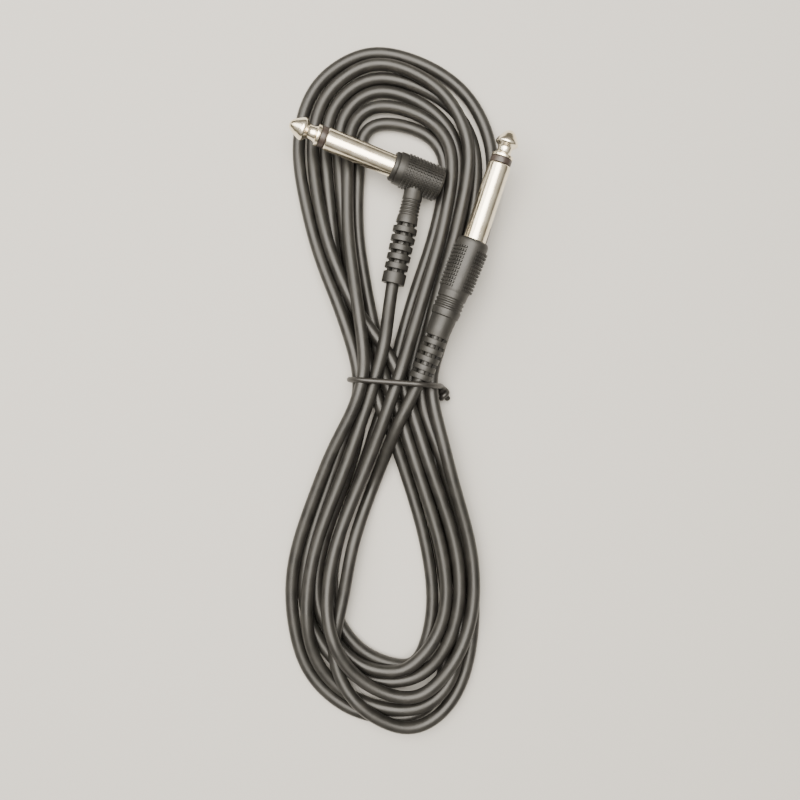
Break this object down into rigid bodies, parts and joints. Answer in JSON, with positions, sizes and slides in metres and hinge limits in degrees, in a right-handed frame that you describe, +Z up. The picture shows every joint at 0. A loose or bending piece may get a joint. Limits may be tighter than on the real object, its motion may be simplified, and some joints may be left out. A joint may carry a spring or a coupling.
{
  "type": "instrument cable",
  "caption": "Black instrument cable folded in a hank and tied at the waist, with a straight phone plug on one end and a right-angle phone plug on the other.",
  "frame": {"origin": "centre of the bounding box, on the surface that the hank lies on", "axes": "+Z up from the surface, +Y along the hank towards the end where both plugs lie, +X to the side of the straight plug"},
  "size_m": [0.0649, 0.1977, 0.0179],
  "materials": {
    "nickel": "polished, slightly warm nickel plate",
    "black_pvc": "satin moulded PVC",
    "cord_jacket": "semi-gloss extruded PVC",
    "black_insulator": "smooth",
    "clear_insulator": "natural polythene",
    "tie_coating": "satin plastic coating",
    "copper": "bare copper strands"
  },
  "bodies": {
    "root": {"angle_barrel": "nickel", "angle_boot": "black_pvc", "angle_cord_end": "cord_jacket", "angle_core_insulation": "clear_insulator", "angle_core_wire": "copper", "angle_front_insulator": "black_insulator", "angle_ground_clip": "nickel", "angle_head": "black_pvc", "angle_inner_sleeve": "clear_insulator", "angle_insulator_tube": "clear_insulator", "angle_rear_insulator": "black_insulator", "angle_shield_tail": "copper", "angle_tip_contact": "nickel", "angle_tip_lug": "nickel", "cord_hank": "cord_jacket", "cord_lead_angle": "cord_jacket", "cord_lead_straight": "cord_jacket", "straight_barrel": "nickel", "straight_boot": "black_pvc", "straight_cord_end": "cord_jacket", "straight_core_insulation": "clear_insulator", "straight_core_wire": "copper", "straight_front_insulator": "black_insulator", "straight_grip": "black_pvc", "straight_ground_clip": "nickel", "straight_inner_sleeve": "clear_insulator", "straight_insulator_tube": "clear_insulator", "straight_rear_insulator": "black_insulator", "straight_shield_tail": "copper", "straight_tip_contact": "nickel", "straight_tip_lug": "nickel", "wire_tie": "tie_coating"}
  },
  "joints": []
}
